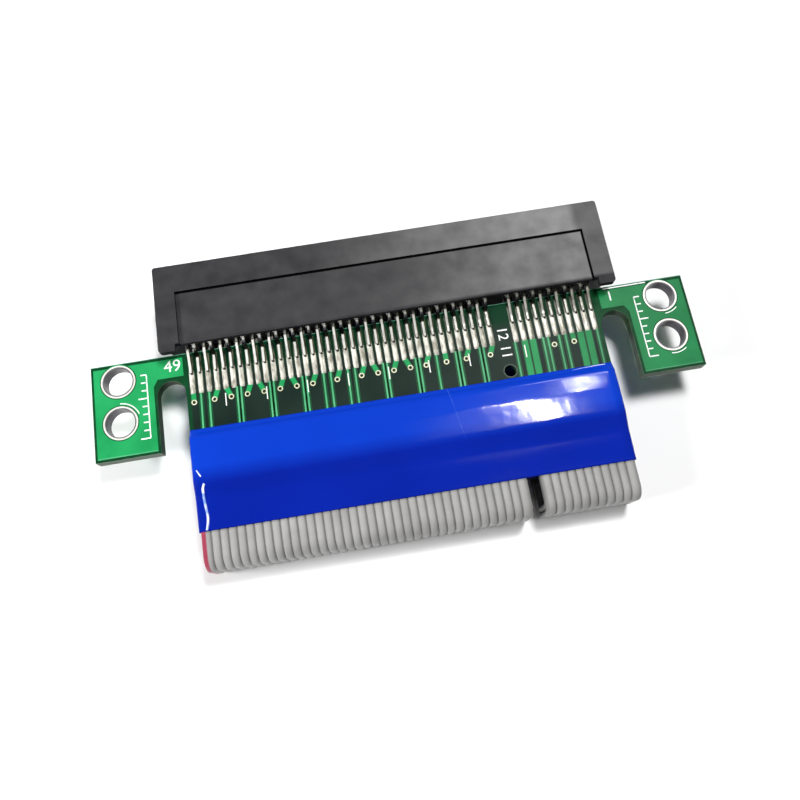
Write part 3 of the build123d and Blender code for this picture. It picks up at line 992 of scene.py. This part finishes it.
RIBBON = 0.7 * MM
RIBBON_MARGIN = 0.7 * MM
VALLEY = 0.06 * MM
RIB_STEPS = 8
RIB_SQUARENESS = 4.5
LAYER_GAP = 0.1 * MM
TAPE_LENGTH = 12.2 * MM
FOLD_INNER = 0.3 * MM
FOLD_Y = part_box("ribbon_a_wide")[0].y
SLOPE_RADIUS = 1.2 * MM
INSULATION_START = 3.4 * MM
JOINT_BOARD = 5.4 * MM
BOARD_OVERHANG = 0.3 * MM
SLOPE_LENGTH = 2.4 * MM
EXIT_STRAIGHT = 1.0 * MM
DROOP_LENGTH = 3.0 * MM
BEND_STEP = 0.2
SLOT_TAPE_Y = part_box("slot_tape")[1].y
PLUG_TAPE_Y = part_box("plug_tape")[1].y
FILM_EDGE_Y = SLOT_TAPE_Y - TAPE_LENGTH
FILM_SHADE = (FILM_EDGE_Y, FILM_EDGE_Y - 0.3 * MM)
STRIPE_X = contact_x(CONTACT_COUNT) - 0.12 * MM
GREY_TO_STRIPE = (STRIPE_X + 0.12 * MM, STRIPE_X)
STRIPE_WANDER = 0.12 * MM

# How much light is painted on the vinyl, from the valley at a rib's left to the one at its right: painted
# shade in the valleys, and most light just left of each rib's middle.
RIB_LIGHTING = ((0.0, 0.50), (0.13, 0.92), (0.35, 1.0), (0.7, 0.80), (1.0, 0.42))


def joint_route(tape_y, middle_z, side):
    """Middle line of a ribbon at a taped joint: along the board's face, then in to the middle plane."""
    on_board = middle_z + side * (FACE + RIBBON / 2)
    off_board = middle_z + side * (LAYER_GAP + RIBBON) / 2
    board_end = tape_y - JOINT_BOARD
    return [
        (tape_y - INSULATION_START, on_board), (board_end - BOARD_OVERHANG, on_board),
        (board_end - SLOPE_LENGTH, off_board)]


def rib_line(low_x, high_x):
    """Half-outline of the ribbon's ribs as (x, height above the middle) points from left to right."""
    count = round((high_x - low_x - 2 * RIBBON_MARGIN) / PITCH) + 1
    starts = [low_x] + [low_x + RIBBON_MARGIN + (i + 0.5) * PITCH for i in range(count - 1)] + [high_x]
    points = []
    for left, right in zip(starts, starts[1:]):
        for i in range(RIB_STEPS):
            u = -math.cos(math.pi * i / RIB_STEPS)
            rise = (RIBBON / 2 - VALLEY) * math.sqrt(1 - abs(u) ** RIB_SQUARENESS)
            points.append(((left + right) / 2 + (right - left) / 2 * u, VALLEY + rise))
    points.append((high_x, VALLEY))
    return points


def run_along(shape, edges, step):
    """Extrudes the section's edges along a straight stretch."""
    grown = bmesh.ops.extrude_edge_only(shape, edges=edges)
    moved = only(grown, bmesh.types.BMVert)
    bmesh.ops.translate(shape, verts=moved, vec=step)
    return [edge for edge in only(grown, bmesh.types.BMEdge) if all(v in moved for v in edge.verts)]


def ribbon_route(side):
    """Corners of a ribbon's middle line from the socket's joint to the plug's, and its bends' radii."""
    inward = (1 - side) / 2 * (RIBBON + LAYER_GAP)
    fold_y = FOLD_Y + RIBBON / 2 + inward
    on_floor = RIBBON / 2 + inward
    down = joint_route(SLOT_TAPE_Y, board_middle_z, side)
    back = joint_route(PLUG_TAPE_Y, plug_middle_z, -side)[::-1]
    fold = [(fold_y, down[-1][1]), (fold_y, on_floor)]
    lift_y = PLUG_TAPE_Y - TAPE_LENGTH - EXIT_STRAIGHT
    droop = [(lift_y - DROOP_LENGTH, on_floor), (lift_y, back[0][1])]
    fold_radius = FOLD_INNER + RIBBON / 2 + (RIBBON + LAYER_GAP if side > 0 else 0)
    radii = [SLOPE_RADIUS] * 2 + [fold_radius] * 2 + [SLOPE_RADIUS] * 4
    return [Vector((0, *corner)) for corner in down + fold + droop + back], radii


def sweep_ribbon(side, low_number, high_number):
    """Ribbed ribbon along its route: straights are extruded and bends are spun about their centres."""
    route, radii = ribbon_route(side)
    start = route[0]
    half = rib_line(contact_x(high_number) - RIBBON_MARGIN, contact_x(low_number) + RIBBON_MARGIN)
    outline = [(x, start.z + h) for x, h in half] + [(x, start.z - h) for x, h in reversed(half)]
    shape = bmesh.new()
    section = shape.faces.new([shape.verts.new((x, start.y, z)) for x, z in outline])
    edges = list(section.edges)
    here = start
    for before, corner, after, radius in zip(route, route[1:], route[2:], radii):
        heading = (corner - before).normalized()
        leaving = (after - corner).normalized()
        angle = heading.angle(leaving)
        cut_back = radius * math.tan(angle / 2)
        turn_start = corner - heading * cut_back
        edges = run_along(shape, edges, turn_start - here)
        turn = 1 if heading.cross(leaving).x > 0 else -1
        centre = turn_start + Matrix.Rotation(turn * math.pi / 2, 3, "X") @ heading * radius
        spun = bmesh.ops.spin(
            shape, geom=edges, cent=centre, axis=(1, 0, 0), angle=turn * angle,
            steps=max(2, math.ceil(angle / BEND_STEP)), use_merge=False)
        edges = [part for part in spun["geom_last"] if isinstance(part, bmesh.types.BMEdge)]
        here = corner + leaving * cut_back
    edges = run_along(shape, edges, route[-1] - here)
    bmesh.ops.contextual_create(shape, geom=edges)
    merge_doubles(shape, 0.001 * MM)
    for face in shape.faces:
        face.smooth = len(face.verts) == 4
    return shape


def vinyl_finish():
    """Grey vinyl with painted shade between its ribs and a painted shadow where it goes under the film, and
    a red stripe along the last conductor.
    """
    finish, place = new_finish("grey_vinyl", 0.46)
    x, y = split_axes(place)[:2]
    mottle = grain(place, 300.0, 4.0)
    grey = two_tone(mottle, (0.285, 0.282, 0.275), (0.365, 0.362, 0.355))
    across = between(from_contact(x), -PITCH / 2, PITCH / 2)
    # Painted shade across each rib, and a painted shadow along the film's near edge.
    rib_light = ramp(across, [(position, (share,) * 3) for position, share in RIB_LIGHTING])
    rib_light = times(rib_light, between(y, *FILM_SHADE, 0.4, 1.0))
    grey = blend(rib_light, (0.115, 0.113, 0.108), grey)
    red = two_tone(mottle, (0.25, 0.030, 0.060), (0.38, 0.07, 0.115))
    wander = times(grain(place, 500.0), STRIPE_WANDER)
    stripe = between(plus(x, wander), *GREY_TO_STRIPE)
    feed("Base Color", blend(stripe, grey, red))
    bumps(place, 900.0, 0.01 * MM)
    return finish


vinyl = vinyl_finish()
for side, face_name in BOTH_FACES:
    for part, low_number, high_number in (
        ("wide", FIRST_GROUP_COUNT + 1, CONTACT_COUNT), ("narrow", 1, FIRST_GROUP_COUNT)
    ):
        ribbed = sweep_ribbon(side, low_number, high_number)
        new_piece(f"ribbed_{face_name}_{part}", ribbed, vinyl, "ribbon_grey", f"ribbon_{face_name}_{part}")


# Tape: glossy blue polyester film wrapped once round each joint and pressed down by hand. It drapes
# over the wire ends, the insulation and the step at the board's end, and creases near its sides.

TAPE = 0.1 * MM
TAPE_RISE = 0.3 * MM
WIRE_START = 1.1 * MM
WIRE = 0.3 * MM
TAPE_OVERHANG = 0.3 * MM
TAPE_SLACK = 1.0 * MM
PAIR_TOP = LAYER_GAP / 2 + RIBBON
FAR_EDGE_LIFT = 0.02 * MM
RISE_LIFT = 0.08 * MM
WIRE_LIFT = 0.29 * MM
SLOPE_LIFT = 0.14 * MM
TAPE_ROWS = 60
TAPE_COLUMNS = 150
SIDE_MARGIN = 0.01 * MM
RIPPLE_HEIGHT = 0.016 * MM
RIPPLES_PER_MM = (0.22, 0.5)
FINE_RIPPLE_HEIGHT = 0.003 * MM
FINE_RIPPLES_PER_MM = (1.1, 1.6)
TAUT_SHARE = 0.35
LOOSE_FROM = 4 * MM
RIDGE_Y = SLOT_TAPE_Y - 5.6 * MM
RIBBON_TO_BOARD = (RIDGE_Y - 1.2 * MM, RIDGE_Y + 0.9 * MM)
SEAM_X = 5.4 * MM
SEAM_LEAN = 0.155
SEAM_WANDER = 0.09 * MM
FILM_TO_SEAM = (0.08 * MM, 0.05 * MM)
CREASE_SUNK_SHARE = 0.3

# Half-width of each crease and its points, in millimetres from the film's middle and its far edge.
CREASES = (
    (0.15 * MM, [
        (-24.55, 6.75), (-24.85, 7.0), (-24.87, 8.4), (-24.7, 9.9), (-24.55, 10.9), (-24.9, 12.1)]),
    (0.08 * MM, [(-25.3, 5.1), (-25.1, 5.5), (-24.85, 5.9)]),
    (0.035 * MM, [(20.6, 0.3), (21.6, 0.14), (22.9, 0.16), (24.2, 0.08), (25.0, 0.12)]),
)

# The film's rounded sides: (distance from the side, share of the height) of its outer columns.
SIDE_ROUNDING = ((0.0, 0.62), (0.05 * MM, 0.88), (0.18 * MM, 0.985))


def drape(inward):
    """Height of the film's inside above the joint's middle plane, at a distance from its far edge."""
    ridge = JOINT_BOARD + BOARD_OVERHANG + TAPE_OVERHANG
    slope_end = JOINT_BOARD + SLOPE_LENGTH + TAPE_SLACK
    stations = [
        (0, FACE + FAR_EDGE_LIFT), (TAPE_RISE, FACE + RISE_LIFT), (WIRE_START, FACE + WIRE + WIRE_LIFT),
        (INSULATION_START - TAPE, FACE + RIBBON), (ridge, FACE + RIBBON),
        (slope_end, PAIR_TOP + SLOPE_LIFT), (TAPE_LENGTH, PAIR_TOP)]
    for (start, low), (end, high) in zip(stations, stations[1:]):
        if inward <= end:
            t = max(0.0, (inward - start) / (end - start))
            eased = t * t * (3 - 2 * t)
            return low + (high - low) * (eased if start > ridge - TAPE else t)
    return PAIR_TOP


def ripple(x, y, per_mm, seed):
    """Smooth noise, with its scales along X and Y."""
    return noise.noise(Vector((x / MM * per_mm[0], y / MM * per_mm[1], seed)))


def uneven_height(x, y, inward, seed):
    """What ripples add to the height of the film, which lies tauter near its far edge."""
    broad = ripple(x, y, RIPPLES_PER_MM, seed)
    fine = ripple(x, y, FINE_RIPPLES_PER_MM, seed + 7)
    loose = TAUT_SHARE + (1 - TAUT_SHARE) * min(1.0, inward / LOOSE_FROM)
    return loose * (RIPPLE_HEIGHT * broad + FINE_RIPPLE_HEIGHT * fine)


def film_sleeve(node_name, middle_z, seed):
    """Film in one loop round the joint, from two sheets that drape over its faces and join at the sides."""
    low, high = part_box(node_name)
    half_width = (high.x - low.x) / 2 - TAPE
    column = 2 * half_width / TAPE_COLUMNS
    middle = Matrix.Translation((0, (low.y + high.y) / 2, 0))
    size = Matrix.Diagonal((2 * half_width, high.y - low.y, 1, 1))
    shape = bmesh.new()
    for face_side in (1, -1):
        made = bmesh.ops.create_grid(
            shape, x_segments=TAPE_COLUMNS, y_segments=TAPE_ROWS, size=0.5, matrix=middle @ size)
        for vert in made["verts"]:
            inward = high.y - vert.co.y
            height = drape(inward) + uneven_height(vert.co.x, vert.co.y, inward, seed + face_side)
            columns_in = round((half_width - abs(vert.co.x)) / column)
            if columns_in < len(SIDE_ROUNDING):
                from_side, share = SIDE_ROUNDING[columns_in]
                vert.co.x = math.copysign(half_width - from_side, vert.co.x)
                height *= share
            vert.co.z = face_side * min(height, FACE + RIBBON)
    rim = [e for e in shape.edges if len(e.link_faces) == 1]
    side_rim = [e for e in rim if all(abs(abs(v.co.x) - half_width) < SIDE_MARGIN for v in e.verts)]
    for end in (-1, 1):
        bmesh.ops.bridge_loops(shape, edges=[e for e in side_rim if e.verts[0].co.x * end > 0])
    face_out(shape)
    bmesh.ops.solidify(shape, geom=shape.faces, thickness=-TAPE)
    bmesh.ops.translate(shape, verts=shape.verts, vec=(0, 0, middle_z))
    for face in shape.faces:
        face.smooth = True
    return shape


def film_finish():
    """Clear blue, lighter over the board than over the ribbons, with a seam where the film overlaps."""
    finish, place = new_finish("blue_film", 0.1)
    x, y = split_axes(place)[:2]
    cloud = grain(place, 60.0, 3.0)
    over_ribbon = two_tone(cloud, (0.0001, 0.010, 0.25), (0.0002, 0.014, 0.31))
    over_board = two_tone(cloud, (0.0012, 0.032, 0.42), (0.0020, 0.042, 0.50))
    on_board = between(y, *RIBBON_TO_BOARD)
    colour = blend(on_board, over_ribbon, over_board)
    lean = times(minus(y, SLOT_TAPE_Y), SEAM_LEAN)
    from_seam = size_of(minus(plus(x, lean), SEAM_X))
    wander = times(grain(place, 3000.0), SEAM_WANDER)
    seam = times(on_board, between(plus(from_seam, wander), *FILM_TO_SEAM))
    feed("Base Color", blend(seam, colour, (0.06, 0.13, 0.55)))
    bumps(stretched(place, *STREAKED), 900.0, 0.011 * MM, 5.0)
    return finish


def film_creases():
    """Sharp creases near the film's sides, as smooth rounded lines half sunk in the film."""
    shape = bmesh.new()
    for radius, points in CREASES:
        line = bpy.data.curves.new("crease", "CURVE")
        line.dimensions = "3D"
        line.bevel_depth = radius
        line.use_fill_caps = True
        spline = line.splines.new("NURBS")
        spline.points.add(len(points) - 1)
        for point, (x, inward) in zip(spline.points, points):
            z = board_middle_z + drape(inward * MM) + TAPE - radius * CREASE_SUNK_SHARE
            point.co = (x * MM, SLOT_TAPE_Y - inward * MM, z, 1)
        spline.use_endpoint_u = True
        spline.order_u = 4
        add_curve(shape, line)
    merge_doubles(shape)
    return shape


film = film_finish()
for node_name, middle_z, seed in (("slot_tape", board_middle_z, 3.0), ("plug_tape", plug_middle_z, 11.0)):
    new_piece(f"{node_name}_film", film_sleeve(node_name, middle_z, seed), film, "blue_film", node_name)
# Painted highlight: the creases are coloured nearly white, as the bright lines where they catch the light.
crease_highlight_film = clouded_finish(
    "crease_highlight", 0.2, 900.0, (0.20, 0.34, 0.85), (0.95, 0.97, 1.0), 0.35, 0.55)
new_piece("film_creases", film_creases(), crease_highlight_film, "blue_film")


# Stage: a white floor, lights and the camera, which stands nearly above the part as the photograph's
# did. The key and side lights cast its light and shade. The panels show in reflections alone: the far
# one as the sheen on housing and metal, the other two as the bright patches on the film.

FLOOR_HALF_SIZE = 4.0
CAMERA_PLACE = Vector((-3.704, -34.037, 84.595)) * MM
CAMERA_LOOK = Vector((0.03732, 0.26995, -0.96215))
CAMERA_UP = Vector((0.16062, 0.94868, 0.27240))
CAMERA_LENS = 32.76
CAMERA_NEAR = 4 * MM
SKY_STRENGTH = 0.10


def floor_finish():
    """Nearly white and quite matt."""
    finish, place = new_finish("pale_floor", 0.9, specular=0.0)
    cloud = grain(place, 4.0, 2.0)
    feed("Base Color", two_tone(cloud, (0.9, 0.9, 0.9), (0.94, 0.94, 0.94), 0.0, 1.0))
    return finish


def area_light(name, place, size_x, size_y, power, in_diffuse=True, in_gloss=True):
    """Flat lamp that faces the part, seen by diffuse surfaces, by glossy ones or by both."""
    data = bpy.data.lights.new(name, "AREA")
    data.shape = "RECTANGLE"
    data.size = size_x
    data.size_y = size_y
    data.energy = power
    lamp = bpy.data.objects.new(name, data)
    lamp.location = place
    lamp.rotation_euler = Vector(place).to_track_quat("Z", "Y").to_euler()
    lamp.visible_diffuse = in_diffuse
    lamp.visible_glossy = in_gloss
    bpy.context.scene.collection.objects.link(lamp)


ground = bmesh.new()
bmesh.ops.create_grid(ground, x_segments=1, y_segments=1, size=FLOOR_HALF_SIZE)
floor = new_object("floor", ground, floor_finish())

area_light("key_light", (0.045, 0.036, 0.20), 0.045, 0.045, 0.42, in_gloss=False)
area_light("side_light", (-0.115, -0.022, 0.088), 0.035, 0.035, 0.17, in_gloss=False)
area_light("far_panel", (0.25, 0.33, 0.60), 0.18, 0.10, 0.50, in_diffuse=False)
area_light("film_panel", (0.081, 0.0725, 0.308), 0.038, 0.007, 0.155, in_diffuse=False)
area_light("corner_panel", (0.1135, 0.1058, 0.308), 0.004, 0.004, 0.019, in_diffuse=False)

world = bpy.data.worlds.new("studio")
bpy.context.scene.world = world
world.use_nodes = True
sky = world.node_tree.nodes["Background"]
sky.inputs["Color"].default_value = (1.0, 1.0, 1.0, 1.0)
sky.inputs["Strength"].default_value = SKY_STRENGTH

camera_data = bpy.data.cameras.new("camera")
camera_data.lens = CAMERA_LENS
camera_data.sensor_width = 36.0
camera_data.clip_start = CAMERA_NEAR
camera = bpy.data.objects.new("camera", camera_data)
to_row_frame = Vector((0, EDGE_Y, board_high.z))
backward = -CAMERA_LOOK.normalized()
rightward = CAMERA_UP.cross(backward).normalized()
upward = backward.cross(rightward)
turned = Matrix((rightward, upward, backward)).transposed().to_4x4()
camera.matrix_world = Matrix.Translation(CAMERA_PLACE + to_row_frame) @ turned
bpy.context.scene.collection.objects.link(camera)
bpy.context.scene.camera = camera
bpy.context.scene.view_settings.view_transform = "Standard"
